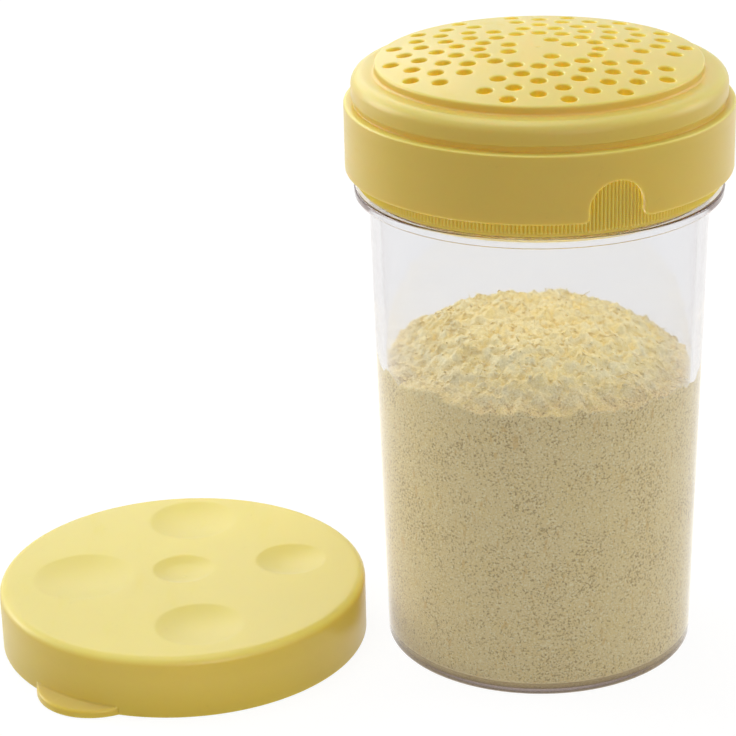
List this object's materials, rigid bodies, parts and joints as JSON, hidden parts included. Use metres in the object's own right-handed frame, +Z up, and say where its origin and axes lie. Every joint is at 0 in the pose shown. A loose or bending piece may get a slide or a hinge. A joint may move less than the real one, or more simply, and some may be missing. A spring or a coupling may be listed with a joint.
{
  "type": "parmesan shaker",
  "caption": "Tapered clear jar of grated cheese with a ribbed screw ring, a pull-off domed sieve cap with a thumb notch, and a press-on dimpled seal lid lying beside it.",
  "frame": {"origin": "centre of the jar's foot, on the surface that it stands on", "axes": "+Z up along the jar's axis; +X to the right and -Y towards the viewer of the picture, so the seal lid lies on the -X side"},
  "size_m": [0.174, 0.0898, 0.1444],
  "materials": {
    "clear_plastic": "clear and glossy",
    "cheese": "loose, fine and matt",
    "washer_foam": "soft closed-cell foam",
    "ring_plastic": "satin moulded",
    "cap_plastic": "satin moulded",
    "lid_plastic": "satin, slightly soft"
  },
  "bodies": {
    "jar": {"jar": "clear_plastic", "grated_cheese": "cheese"},
    "washer": {"sealing_washer": "washer_foam"},
    "ring": {"screw_ring": "ring_plastic"},
    "cap": {"sieve_cap": "cap_plastic"},
    "lid": {"seal_lid": "lid_plastic"}
  },
  "joints": [
    {"name": "ring_rise", "type": "slide", "parent": "jar", "child": "washer", "axis": [0, 0, 1], "range_m": [0, 0.00401]},
    {"name": "ring_turn", "type": "hinge", "parent": "washer", "child": "ring", "pos_m": [0, 0, 0.1292], "axis": [0, 0, 1], "range_deg": [0, 360]},
    {"name": "cap_lift", "type": "slide", "parent": "ring", "child": "cap", "axis": [0, 0, 1], "range_m": [0, 0.03]},
    {"name": "lid_lift", "type": "slide", "parent": "jar", "child": "lid", "axis": [0, 0, 1], "range_m": [0, 0.09]}
  ],
  "couplings": [
    {"joint": "ring_rise", "follows": "ring_turn", "m_per_rad": 0.00063662}
  ]
}
